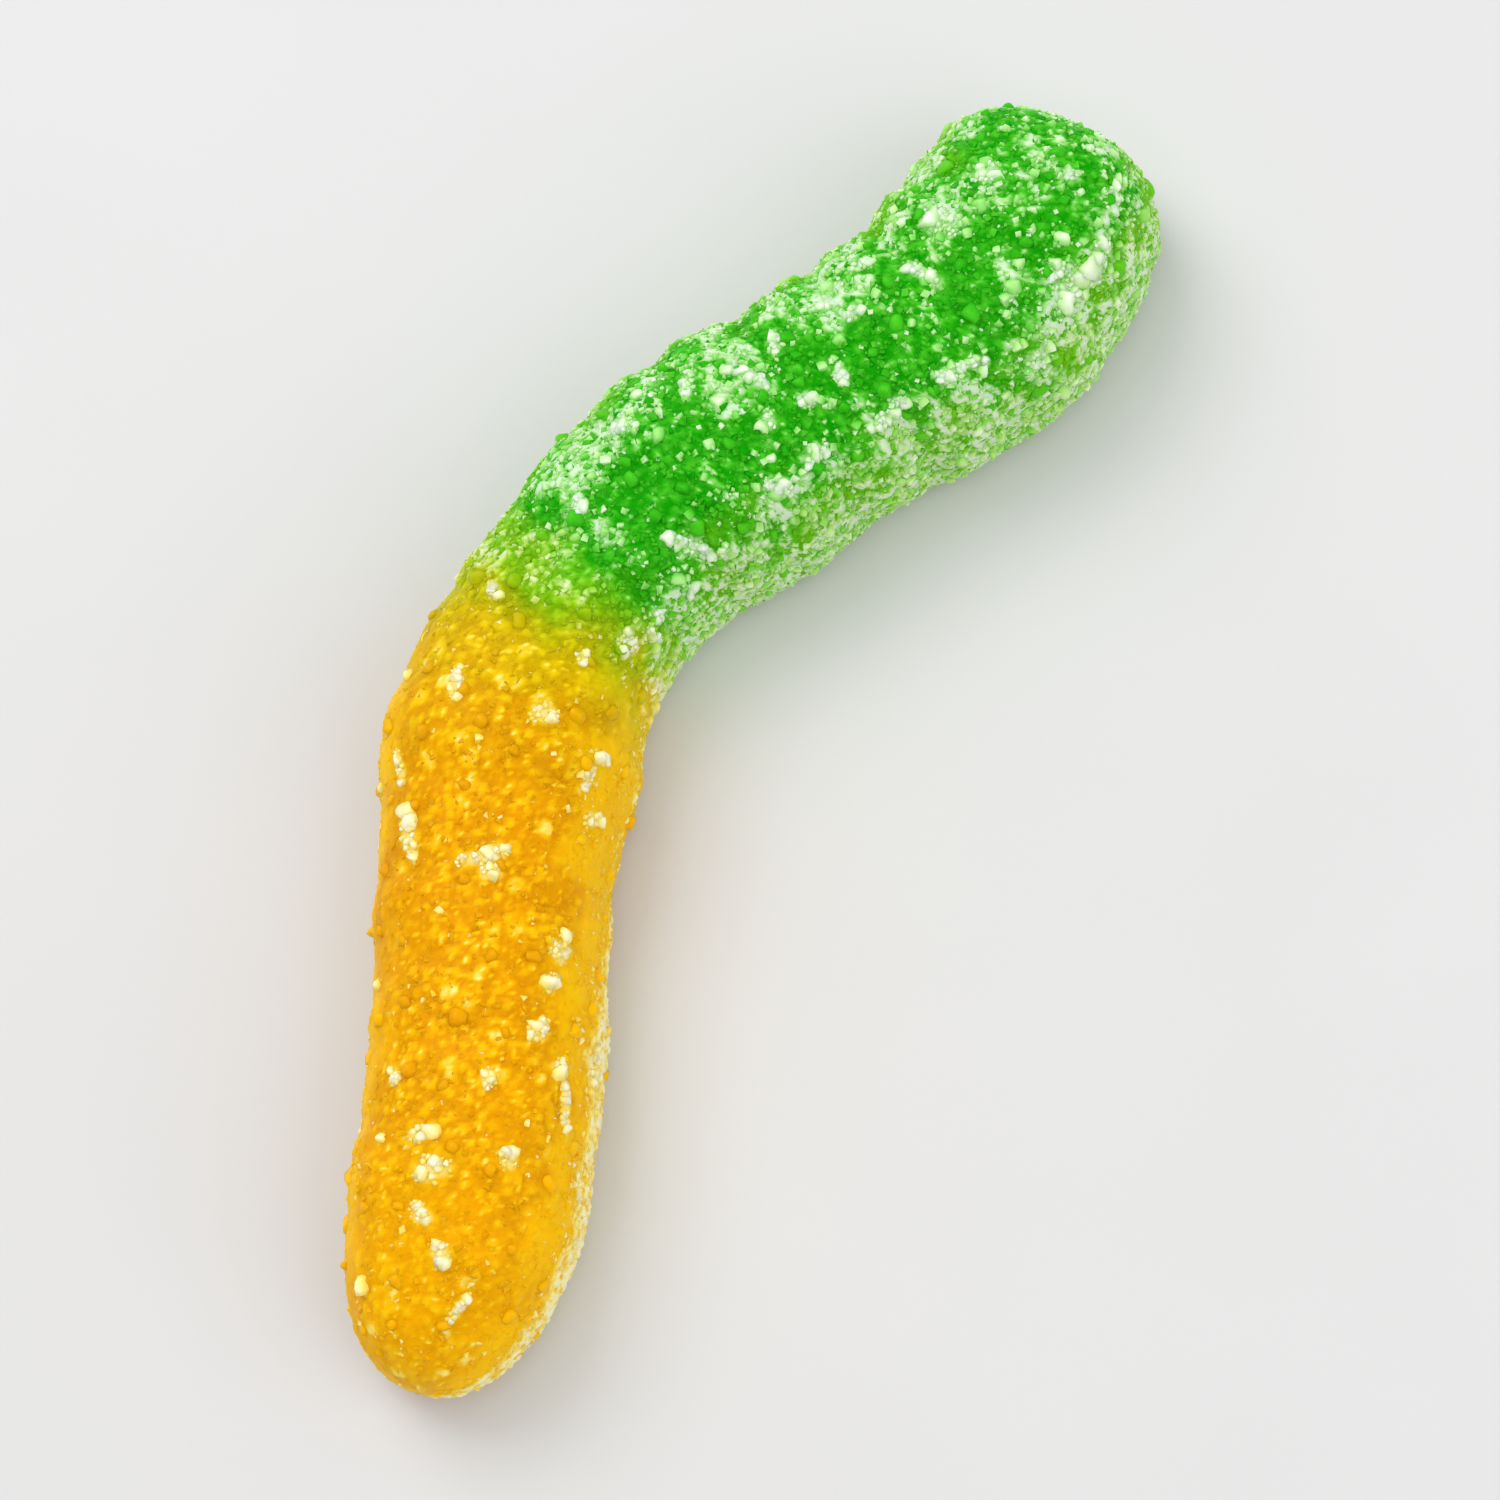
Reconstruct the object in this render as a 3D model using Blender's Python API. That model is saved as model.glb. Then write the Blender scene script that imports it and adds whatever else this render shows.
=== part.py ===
"""A sour gummy worm: one moulded piece of gel, bent as it lies on its flat back, with coarse sugar on it.

The body is a loft along a bent centre line, from a broad green tip to a narrower yellow tip. Its section is
a rounded D: flat below, where the worm lay open in its mould, and a broad dome above. Weak rings go round it.
The grains are small faceted crystals, half sunk in the gel and fused to it.

Lengths are in millimetres up to the last step, which scales them to metres. The origin is on the floor at
the middle of the worm's box, with +Z up, +Y from the yellow half towards the green tip and +X to the right.
"""

import math

import bmesh
import bpy
import numpy as np

MM = 0.001

# The centre line starts at the green tip. Each bend turns it by a smooth step between two distances along it.
LENGTH = 69.5
GREEN_TIP = (14.95, 28.31)
FIRST_HEADING = -117.0
BENDS = ((4.1, 14.0, -32.2), (20.1, 47.8, 57.0), (53.9, 63.8, -11.7))

# The section: half its width, how far the dome stands above its widest line, and how high that line lies.
HALF_WIDTH = 5.13
DOME_HEIGHT = 5.9
WIDEST_AT = 2.6
UNDER_DEPTH = 3.0
DOME_POWER = 2.5
UNDER_POWER = 3.5

# Swellings along the body: where each one is, how far it spreads, and what it adds to the half width.
SWELLINGS = ((8.7, 6.9, 0.92), (23.4, 4.4, 0.72), (40.4, 3.7, 0.67))
DOME_SHARE = 0.7
GREEN_CAP = (4.33, 2.23)
YELLOW_CAP = (9.38, 2.1)

# Rings are narrow grooves between broad swells. They fade along the body and towards the flat back.
RING_PITCH = 3.9
RING_DEPTH = 0.26
RING_FADE_END = 0.3
RING_SHARPNESS = 3

# Slow unevenness of the whole skin: height, waves along the body, waves round it, and phase of each.
WAVES = (
    (0.07, 0.61, 1, 0.4),
    (0.06, 0.97, 2, 2.1),
    (0.05, 1.43, 3, 4.4),
    (0.04, 2.21, 2, 5.3),
    (0.03, 2.9, 5, 1.2),
)

STATIONS = 90
SIDES = 20
FINE_STEP = 0.05

# Sugar grains: how many, the largest and smallest across, the distance between two, and where they may lie.
GRAINS = 220
LARGEST_GRAIN = 0.95
SMALLEST_GRAIN = 0.6
GRAIN_SPACING = 1.6
GRAIN_SUNK = 0.18
GRAIN_SEED = 11
LOWEST_GRAIN = 1.2
YELLOW_SHARE = 0.35
COLOUR_CHANGE = 34.5

BLOCK_CORNERS = np.array([(x, y, z) for z in (-1.0, 1.0) for y in (-1.0, 1.0) for x in (-1.0, 1.0)])
BLOCK_FACES = [(0, 2, 3, 1), (4, 5, 7, 6), (0, 1, 5, 4), (2, 6, 7, 3), (0, 4, 6, 2), (1, 3, 7, 5)]


def smooth_step(value, low, high):
    """Returns 0 below low, 1 above high and a smooth rise between them."""
    share = np.clip((value - low) / (high - low), 0.0, 1.0)
    return share * share * (3.0 - 2.0 * share)


def heading(along):
    """Returns the direction of the centre line, in radians, at distances along it."""
    degrees = np.full_like(along, FIRST_HEADING)
    for start, end, turn in BENDS:
        degrees = degrees + turn * smooth_step(along, start, end)
    return np.radians(degrees)


def centre_line(along):
    """Returns x, y and heading of the centre line, by summing short steps in the heading's direction."""
    fine = np.arange(0.0, LENGTH + FINE_STEP, FINE_STEP)
    turn = heading(fine)
    middle = 0.5 * (turn[1:] + turn[:-1])
    x = GREEN_TIP[0] + np.concatenate([[0.0], np.cumsum(np.cos(middle) * FINE_STEP)])
    y = GREEN_TIP[1] + np.concatenate([[0.0], np.cumsum(np.sin(middle) * FINE_STEP)])
    return np.interp(along, fine, x), np.interp(along, fine, y), heading(along)


def cap(distance, length, power):
    """Returns how full the section is at a distance from a tip: 0 at the tip and 1 from length onwards."""
    share = np.clip(distance / length, 0.0, 1.0)
    return (1.0 - (1.0 - share) ** power) ** (1.0 / power)


def half_width(along):
    """Returns half the body's width before its tips round off."""
    width = np.full_like(along, HALF_WIDTH)
    for place, spread, extra in SWELLINGS:
        width = width + extra * np.exp(-(((along - place) / spread) ** 2))
    return width


def ring_groove(along, angle):
    """Returns how deep the rings cut at a distance along the body and an angle round it."""
    groove = (0.5 + 0.5 * np.cos(2.0 * math.pi * along / RING_PITCH)) ** RING_SHARPNESS
    fade = 1.0 - (1.0 - RING_FADE_END) * smooth_step(along, 20.0, 50.0)
    tips = smooth_step(along, 1.5, 5.0) * smooth_step(LENGTH - along, 1.5, 6.0)
    round_body = smooth_step(np.sin(angle), -0.6, 0.2)
    return RING_DEPTH * groove * fade * tips * round_body


def unevenness(along, angle):
    """Returns the slow waves of the skin, in and out, at a distance along the body and an angle round it."""
    height = np.zeros_like(along + angle)
    for size, rate, turns, phase in WAVES:
        height = height + size * np.sin(rate * along + phase) * np.cos(turns * angle + 2.0 * phase)
    return height


def skin(along, angle):
    """Returns points (..., 3) of the body's skin at distances along it and angles round it.

    Across the body the section is a superellipse, width * |cos|^(2 / p) sideways and height * |sin|^(2 / p)
    up. The part that would go below the floor is laid flat on it.
    """
    x, y, turn = centre_line(along)
    full = cap(along, *GREEN_CAP) * cap(LENGTH - along, *YELLOW_CAP)
    width = half_width(along)
    dome = DOME_HEIGHT * (1.0 + DOME_SHARE * (width / HALF_WIDTH - 1.0))
    inwards = (unevenness(along, angle) - ring_groove(along, angle)) * full
    cosine = np.cos(angle)
    sine = np.sin(angle)
    side = (width * full + inwards) * np.sign(cosine) * np.abs(cosine) ** (2.0 / DOME_POWER)
    above = (dome * full + inwards) * np.abs(sine) ** (2.0 / DOME_POWER)
    below = -UNDER_DEPTH * full * np.abs(sine) ** (2.0 / UNDER_POWER)
    up = np.maximum(WIDEST_AT + np.where(sine > 0.0, above, below), 0.0)
    return np.stack([x - side * np.sin(turn), y + side * np.cos(turn), up + 0.0 * along], axis=-1)


def station_places(count):
    """Returns distances along the body, closer together at the tips, without the tips themselves."""
    even = np.linspace(0.0, 1.0, count + 2)[1:-1]
    crowded = 0.5 - 0.5 * np.cos(math.pi * even)
    return LENGTH * (0.8 * even + 0.2 * crowded)


def body_mesh():
    """Returns vertices and faces of the body: rings of quads, closed by a fan of triangles at each tip."""
    along = station_places(STATIONS)[:, None]
    angle = np.linspace(0.0, 2.0 * math.pi, SIDES, endpoint=False)[None, :]
    grid = skin(along, angle).reshape(-1, 3)
    tips = skin(np.array([0.0, LENGTH]), np.array([0.0, 0.0]))
    vertices = np.concatenate([grid, tips])
    faces = []
    for station in range(STATIONS - 1):
        for side in range(SIDES):
            here = station * SIDES + side
            beside = station * SIDES + (side + 1) % SIDES
            faces.append((here, beside, beside + SIDES, here + SIDES))
    green_tip = STATIONS * SIDES
    last = (STATIONS - 1) * SIDES
    for side in range(SIDES):
        beside = (side + 1) % SIDES
        faces.append((beside, side, green_tip))
        faces.append((last + side, last + beside, green_tip + 1))
    return vertices, faces


def grain_sites():
    """Returns where grains sit, as points on the skin and outward normals there.

    A fine grid of the skin is drawn from at random, weighted by the area of each cell and by how much sugar
    that part of the worm holds. A draw too close to one already taken is passed over.
    """
    draw = np.random.default_rng(GRAIN_SEED)
    along = np.linspace(0.6, LENGTH - 0.6, 700)[:, None]
    angle = np.linspace(math.radians(-50.0), math.radians(230.0), 120)[None, :]
    points = skin(along, angle)
    lengthwise = np.gradient(points, axis=0)
    around = np.gradient(points, axis=1)
    normals = np.cross(around, lengthwise)
    area = np.linalg.norm(normals, axis=-1)
    normals = normals / np.maximum(area, 1e-9)[..., None]
    share = 1.0 - (1.0 - YELLOW_SHARE) * smooth_step(along, COLOUR_CHANGE - 3.0, COLOUR_CHANGE + 3.0)
    weight = (area * share * (points[..., 2] > LOWEST_GRAIN)).ravel()
    order = draw.choice(weight.size, size=6000, replace=False, p=weight / weight.sum())
    points = points.reshape(-1, 3)
    normals = normals.reshape(-1, 3)
    taken = []
    for index in order:
        if taken:
            nearest = np.linalg.norm(points[taken] - points[index], axis=1).min()
            if nearest < GRAIN_SPACING:
                continue
        taken.append(index)
        if len(taken) == GRAINS:
            break
    return points[taken], normals[taken]


def random_turns(draw, count):
    """Returns (count, 3, 3) random rotation matrices, each from a random quaternion."""
    w, x, y, z = draw.normal(size=(4, count))
    scale = 2.0 / (w * w + x * x + y * y + z * z)
    rows = [
        [1.0 - scale * (y * y + z * z), scale * (x * y - w * z), scale * (x * z + w * y)],
        [scale * (x * y + w * z), 1.0 - scale * (x * x + z * z), scale * (y * z - w * x)],
        [scale * (x * z - w * y), scale * (y * z + w * x), 1.0 - scale * (x * x + y * y)],
    ]
    return np.moveaxis(np.array(rows), -1, 0)


def grain_blocks():
    """Returns the corners of the grains, (grains, 8, 3): uneven blocks turned at random, largest first."""
    points, normals = grain_sites()
    count = len(points)
    draw = np.random.default_rng(GRAIN_SEED + 1)
    sizes = np.linspace(LARGEST_GRAIN, SMALLEST_GRAIN, count)[:, None, None]
    half_sides = 0.5 * sizes * draw.uniform(0.82, 1.08, (count, 1, 3))
    uneven = draw.uniform(0.72, 1.08, (count, 8, 1))
    turns = random_turns(draw, count)
    blocks = np.einsum("nij,nkj->nki", turns, BLOCK_CORNERS * uneven * half_sides)
    return blocks + points[:, None] - GRAIN_SUNK * sizes * normals[:, None]


def add_mesh(name, vertices, faces, collection, material):
    """Adds one object, its mesh given in millimetres and split into triangles, and returns it."""
    mesh = bpy.data.meshes.new(name)
    mesh.from_pydata((np.asarray(vertices) * MM).tolist(), [], faces)
    mesh.materials.append(material)
    shape = bmesh.new()
    shape.from_mesh(mesh)
    bmesh.ops.triangulate(shape, faces=shape.faces)
    shape.to_mesh(mesh)
    shape.free()
    obj = bpy.data.objects.new(name, mesh)
    collection.objects.link(obj)
    return obj


def add_grains(collection, material):
    """Adds every sugar grain to the collection."""
    for number, corners in enumerate(grain_blocks()):
        add_mesh(f"grain_{number:03d}", corners, BLOCK_FACES, collection, material)


def gel_material():
    """Returns the amber gel's material."""
    material = bpy.data.materials.new("gel")
    material.use_nodes = True
    shader = material.node_tree.nodes["Principled BSDF"]
    shader.inputs["Base Color"].default_value = (0.9, 0.5, 0.02, 1.0)
    shader.inputs["Roughness"].default_value = 0.45
    shader.inputs["Subsurface Weight"].default_value = 0.3
    return material


def fuse(worm, grains):
    """Joins the grains to the worm by one Boolean union, applies it and removes the grains' own objects."""
    union = worm.modifiers.new("union", "BOOLEAN")
    union.operation = "UNION"
    union.operand_type = "COLLECTION"
    union.collection = grains
    union.solver = "MANIFOLD"
    bpy.context.view_layer.objects.active = worm
    bpy.ops.object.modifier_apply(modifier=union.name)
    for obj in list(grains.objects):
        bpy.data.objects.remove(obj)
    bpy.data.collections.remove(grains)


def main():
    """Builds the worm."""
    for obj in list(bpy.data.objects):
        bpy.data.objects.remove(obj)
    scene = bpy.context.scene
    scene.unit_settings.scale_length = 1.0
    material = gel_material()
    grains = bpy.data.collections.new("grains")
    scene.collection.children.link(grains)
    worm = add_mesh("worm", *body_mesh(), scene.collection, material)
    add_grains(grains, material)
    fuse(worm, grains)


if __name__ == "__main__":
    main()
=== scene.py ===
"""The looks of a sour gummy worm: green gel that turns into amber gel, under a rough coat of sugar.

The worm lies on its flat back on a pale floor, and is seen from above. Its skin follows the same named
sizes as the solid, and six pieces are built on it: the gel with its crust of half dissolved sugar, the
coarse grains that the solid has too, three sizes of finer crystals between them, and the clumps where
grains stick together.

The classes work in millimetres. Meshes are scaled to metres when they are made.
"""

from __future__ import annotations

import logging
import math
from dataclasses import dataclass, replace
from enum import Enum
from typing import Any

import bpy
import numpy as np
from mathutils import Matrix

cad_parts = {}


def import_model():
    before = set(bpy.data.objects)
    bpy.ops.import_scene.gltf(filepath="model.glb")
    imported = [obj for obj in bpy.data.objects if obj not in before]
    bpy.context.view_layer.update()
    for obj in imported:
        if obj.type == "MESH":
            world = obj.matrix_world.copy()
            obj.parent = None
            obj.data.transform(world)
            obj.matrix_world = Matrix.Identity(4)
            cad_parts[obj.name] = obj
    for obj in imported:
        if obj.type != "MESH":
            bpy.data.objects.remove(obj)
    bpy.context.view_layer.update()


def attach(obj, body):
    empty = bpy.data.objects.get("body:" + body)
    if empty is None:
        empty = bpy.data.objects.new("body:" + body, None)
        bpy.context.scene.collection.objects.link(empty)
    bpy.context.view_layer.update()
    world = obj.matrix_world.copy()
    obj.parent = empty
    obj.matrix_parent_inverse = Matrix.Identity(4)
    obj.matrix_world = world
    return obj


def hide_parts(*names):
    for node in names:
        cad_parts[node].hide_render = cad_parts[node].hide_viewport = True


LOG = logging.getLogger("gummy_worm")
MM = 0.001
RIDES_ON = "root"

FAR = 9.0

Colour = tuple[float, float, float]
Stops = tuple[tuple[float, Colour], ...]


class Slot(Enum):
    """The record's material slots."""

    GUMMY = "gummy"
    SUGAR = "sugar"


class Attribute(Enum):
    """Names of the values that meshes carry for their materials."""

    PLACE = "place"
    # How far the colour turns lighter: painted glow of light shining through thin gel.
    EDGE = "edge"
    WHITE = "white"


def smooth_step(value: np.ndarray, low: float, high: float) -> np.ndarray:
    """Rises smoothly from 0 at low to 1 at high, as 3 t^2 - 2 t^3."""
    share = np.clip((value - low) / (high - low), 0.0, 1.0)
    return share * share * (3.0 - 2.0 * share)


def hashed(cells: np.ndarray, seed: int) -> np.ndarray:
    """Gives every integer cell three numbers that look random but are always the same.

    Args:
        cells: Integer cells, (..., 3).
        seed: Another seed gives other numbers.

    Returns:
        Numbers from 0 to 1, (..., 3).
    """
    mixed = cells.astype(np.int64) + 100_003 * seed
    key = (mixed[..., 0] * 73_856_093) ^ (mixed[..., 1] * 19_349_663) ^ (mixed[..., 2] * 83_492_791)
    found = []
    for factor in (0x9E3779B1, 0x85EBCA6B, 0xC2B2AE35):
        value = (key ^ (key >> 15)) * factor & 0xFFFFFFFF
        value = (value ^ (value >> 13)) * 0x27D4EB2F & 0xFFFFFFFF
        found.append(((value ^ (value >> 16)) & 0xFFFFFF) / float(0xFFFFFF))
    return np.stack(found, axis=-1)


def smooth_noise(points: np.ndarray, size: float, seed: int) -> np.ndarray:
    """Blends random values at the corners of cubes, with smooth steps between them.

    Args:
        points: Places in space, (..., 3).
        size: The cubes' size.
        seed: Another seed gives another pattern.

    Returns:
        Values from 0 to 1, (...).
    """
    scaled = points / size
    base = np.floor(scaled)
    inside = scaled - base
    inside = inside * inside * (3.0 - 2.0 * inside)
    total = np.zeros(points.shape[:-1])
    for corner in np.ndindex(2, 2, 2):
        weight = np.prod(np.where(corner, inside, 1.0 - inside), axis=-1)
        total += weight * hashed(base.astype(np.int64) + np.array(corner), seed)[..., 0]
    return total


@dataclass(frozen=True)
class Noise:
    """A smooth noise of one size."""

    size: float
    seed: int

    def at(self, points: np.ndarray) -> np.ndarray:
        """Gives its values from 0 to 1."""
        return smooth_noise(points, self.size, self.seed)

    def swing(self, points: np.ndarray) -> np.ndarray:
        """Gives its values from -0.5 to 0.5."""
        return self.at(points) - 0.5


def cell_noise(points: np.ndarray, size: float, seed: int) -> tuple[np.ndarray, np.ndarray]:
    """Measures the distance to the nearest of scattered centres, one in each cube of space.

    Args:
        points: Places in space, (..., 3).
        size: The cubes' size.
        seed: Another seed moves the centres.

    Returns:
        The distance in units of size, (...), and the nearest centre's own value from 0 to 1, (...).
    """
    scaled = points / size
    base = np.floor(scaled).astype(np.int64)
    nearest = np.full(points.shape[:-1], FAR)
    chosen = np.zeros(points.shape[:-1])
    for offset in np.ndindex(3, 3, 3):
        cell = base + np.array(offset) - 1
        centre = cell + 0.1 + 0.8 * hashed(cell, seed)
        distance = np.linalg.norm(scaled - centre, axis=-1)
        closer = distance < nearest
        nearest = np.where(closer, distance, nearest)
        chosen = np.where(closer, hashed(cell, seed + 7)[..., 0], chosen)
    return nearest, chosen


def new_object(name: str, vertices: np.ndarray, faces: list[Any], smooth: bool) -> bpy.types.Object:
    """Makes a mesh object from millimetres and links it to the scene.

    Args:
        name: The object's name.
        vertices: Its vertices, (n, 3).
        faces: Its faces, as lists of vertex numbers.
        smooth: Whether it is shaded smooth.

    Returns:
        The object.
    """
    mesh = bpy.data.meshes.new(name)
    mesh.from_pydata((vertices * MM).tolist(), [], faces)
    mesh.polygons.foreach_set("use_smooth", np.full(len(mesh.polygons), smooth))
    mesh.update()
    obj = bpy.data.objects.new(name, mesh)
    bpy.context.scene.collection.objects.link(obj)
    return obj


def store(obj: bpy.types.Object, attribute: Attribute, values: np.ndarray) -> None:
    """Stores one number for each vertex of an object's mesh, under the attribute's name."""
    layer = obj.data.attributes.new(attribute.value, "FLOAT", "POINT")
    layer.data.foreach_set("value", np.ascontiguousarray(values, np.float32).ravel())


@dataclass(frozen=True)
class WormForm:
    """The worm's skin without sugar: a rounded D section along a bent centre line, with weak rings."""

    length: float = 69.5
    green_tip: tuple[float, float] = (14.95, 28.31)
    first_heading: float = -117.0
    bends: tuple[tuple[float, float, float], ...] = (
        (4.1, 14.0, -32.2),
        (20.1, 47.8, 57.0),
        (53.9, 63.8, -11.7),
    )
    fine_step: float = 0.05
    half_width: float = 5.13
    dome_height: float = 5.9
    widest_at: float = 2.6
    under_depth: float = 3.0
    dome_power: float = 2.5
    under_power: float = 3.5
    swellings: tuple[tuple[float, float, float], ...] = (
        (8.7, 6.9, 0.92),
        (23.4, 4.4, 0.72),
        (40.4, 3.7, 0.67),
    )
    dome_share: float = 0.7
    green_cap: tuple[float, float] = (4.33, 2.23)
    yellow_cap: tuple[float, float] = (9.38, 2.1)
    ring_pitch: float = 3.9
    ring_depth: float = 0.26
    ring_fade_end: float = 0.3
    ring_sharpness: int = 3
    waves: tuple[tuple[float, float, int, float], ...] = (
        (0.07, 0.61, 1, 0.4),
        (0.06, 0.97, 2, 2.1),
        (0.05, 1.43, 3, 4.4),
        (0.04, 2.21, 2, 5.3),
        (0.03, 2.9, 5, 1.2),
    )

    def heading(self, along: np.ndarray) -> np.ndarray:
        """Turns the first heading by a smooth step for each bend.

        Args:
            along: Distances along the worm from its green tip.

        Returns:
            The centre line's direction there, in radians.
        """
        degrees = np.full_like(along, self.first_heading)
        for start, end, turn in self.bends:
            degrees = degrees + turn * smooth_step(along, start, end)
        return np.radians(degrees)

    def centre_line(self, along: np.ndarray) -> tuple[np.ndarray, np.ndarray, np.ndarray]:
        """Sums short steps in the heading's direction: x = sum of cos h ds, y = sum of sin h ds.

        Args:
            along: Distances along the worm.

        Returns:
            The centre line's x, y and heading.
        """
        fine = np.arange(0.0, self.length + self.fine_step, self.fine_step)
        turn = self.heading(fine)
        middle = 0.5 * (turn[1:] + turn[:-1])
        x = self.green_tip[0] + np.concatenate([[0.0], np.cumsum(np.cos(middle) * self.fine_step)])
        y = self.green_tip[1] + np.concatenate([[0.0], np.cumsum(np.sin(middle) * self.fine_step)])
        return np.interp(along, fine, x), np.interp(along, fine, y), self.heading(along)

    def fullness(self, along: np.ndarray) -> np.ndarray:
        """Rounds both tips off by (1 - (1 - d / c)^p)^(1 / p), with d the distance to the tip.

        Args:
            along: Distances along the worm.

        Returns:
            How full the section is, 0 at a tip and 1 past its cap.
        """
        full = np.ones_like(along)
        for distance, (length, power) in ((along, self.green_cap), (self.length - along, self.yellow_cap)):
            share = np.clip(distance / length, 0.0, 1.0)
            full = full * (1.0 - (1.0 - share) ** power) ** (1.0 / power)
        return full

    def width(self, along: np.ndarray) -> np.ndarray:
        """Adds the swellings to the half width, each e * exp(-((s - place) / spread)^2).

        Args:
            along: Distances along the worm.

        Returns:
            Half the worm's width before its tips round off.
        """
        width = np.full_like(along, self.half_width)
        for place, spread, extra in self.swellings:
            width = width + extra * np.exp(-(((along - place) / spread) ** 2))
        return width

    def ring_groove(self, along: np.ndarray, angle: np.ndarray) -> np.ndarray:
        """Cuts a narrow groove every ring pitch, (0.5 + 0.5 cos)^k, that fades towards the yellow tip.

        Args:
            along: Distances along the worm.
            angle: Angles round it.

        Returns:
            The groove's depth.
        """
        groove = (0.5 + 0.5 * np.cos(2.0 * math.pi * along / self.ring_pitch)) ** self.ring_sharpness
        fade = 1.0 - (1.0 - self.ring_fade_end) * smooth_step(along, 20.0, 50.0)
        tips = smooth_step(along, 1.5, 5.0) * smooth_step(self.length - along, 1.5, 6.0)
        round_body = smooth_step(np.sin(angle), -0.6, 0.2)
        return self.ring_depth * groove * fade * tips * round_body

    def unevenness(self, along: np.ndarray, angle: np.ndarray) -> np.ndarray:
        """Sums slow waves a * sin(rate * s + phase) * cos(turns * angle + 2 phase).

        Args:
            along: Distances along the worm.
            angle: Angles round it.

        Returns:
            How far the skin stands out or in.
        """
        height = np.zeros_like(along + angle)
        for size, rate, turns, phase in self.waves:
            height = height + size * np.sin(rate * along + phase) * np.cos(turns * angle + 2.0 * phase)
        return height

    def skin(self, along: np.ndarray, angle: np.ndarray) -> np.ndarray:
        """Lays the section across the centre line: w * |cos|^(2 / p) sideways, h * |sin|^(2 / p) up.

        Args:
            along: Distances along the worm.
            angle: Angles round it, 0 on its right and a quarter turn on top, seen from the yellow tip's end.

        Returns:
            Points of the skin, (..., 3).
        """
        x, y, turn = self.centre_line(along)
        full = self.fullness(along)
        width = self.width(along)
        dome = self.dome_height * (1.0 + self.dome_share * (width / self.half_width - 1.0))
        inwards = (self.unevenness(along, angle) - self.ring_groove(along, angle)) * full
        cosine = np.cos(angle)
        sine = np.sin(angle)
        side = (width * full + inwards) * np.sign(cosine) * np.abs(cosine) ** (2.0 / self.dome_power)
        above = (dome * full + inwards) * np.abs(sine) ** (2.0 / self.dome_power)
        below = -self.under_depth * full * np.abs(sine) ** (2.0 / self.under_power)
        up = np.maximum(self.widest_at + np.where(sine > 0.0, above, below), 0.0)
        return np.stack([x - side * np.sin(turn), y + side * np.cos(turn), up + 0.0 * along], axis=-1)

    def even_angles(self, count: int) -> np.ndarray:
        """Spreads angles so that a section in the middle of the worm has points at equal distances.

        Args:
            count: How many angles.

        Returns:
            Angles from the middle of the flat back once round, (count,).
        """
        fine = np.linspace(-0.5 * math.pi, 1.5 * math.pi, 4001)
        points = self.skin(np.full_like(fine, 0.5 * self.length), fine)
        steps = np.linalg.norm(np.diff(points, axis=0), axis=-1)
        run = np.concatenate([[0.0], np.cumsum(steps)])
        return np.interp(np.linspace(0.0, run[-1], count, endpoint=False), run, fine)


@dataclass(frozen=True)
class SkinSample:
    """A fine grid over the skin, to draw places from."""

    along: np.ndarray
    angle: np.ndarray
    points: np.ndarray
    normals: np.ndarray
    area: np.ndarray

    @classmethod
    def over(cls, form: WormForm, along: np.ndarray, angle: np.ndarray) -> SkinSample:
        """Measures the skin on a grid: the cross product of its steps gives the normal and the area.

        Args:
            form: The worm's form.
            along: Distances along the worm, (n,).
            angle: Angles round it, (m,).

        Returns:
            The sample, with every array (n, m) or (n, m, 3).
        """
        points = form.skin(along[:, None], angle[None, :])
        normals = np.cross(np.gradient(points, axis=1), np.gradient(points, axis=0))
        area = np.linalg.norm(normals, axis=-1)
        normals = normals / np.maximum(area, 1e-9)[..., None]
        full = np.broadcast_arrays(along[:, None], angle[None, :])
        return cls(full[0], full[1], points, normals, area)

    def without_seam(self) -> SkinSample:
        """Leaves out the last angle, which is the first one again."""
        grids = (self.along, self.angle, self.points, self.normals, self.area)
        return SkinSample(*(grid[:, :-1] for grid in grids))

    def take(self, index: np.ndarray) -> SkinSample:
        """Picks places of the grid by their flat numbers.

        Args:
            index: Flat numbers of the places.

        Returns:
            A sample of those places alone, with every array (k,) or (k, 3).
        """
        return SkinSample(
            self.along.ravel()[index],
            self.angle.ravel()[index],
            self.points.reshape(-1, 3)[index],
            self.normals.reshape(-1, 3)[index],
            self.area.ravel()[index],
        )


@dataclass(frozen=True)
class Patch:
    """A broad place where the coat differs: its place in mm and degrees, its radius and its strength."""

    along: float
    angle: float
    radius: float
    strength: float


@dataclass(frozen=True)
class Clump:
    """A knot of sugar grains: its place, its length and width, and its lean off the worm's direction."""

    along: float
    angle: float
    length: float
    width: float
    lean: float = 0.0


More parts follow.
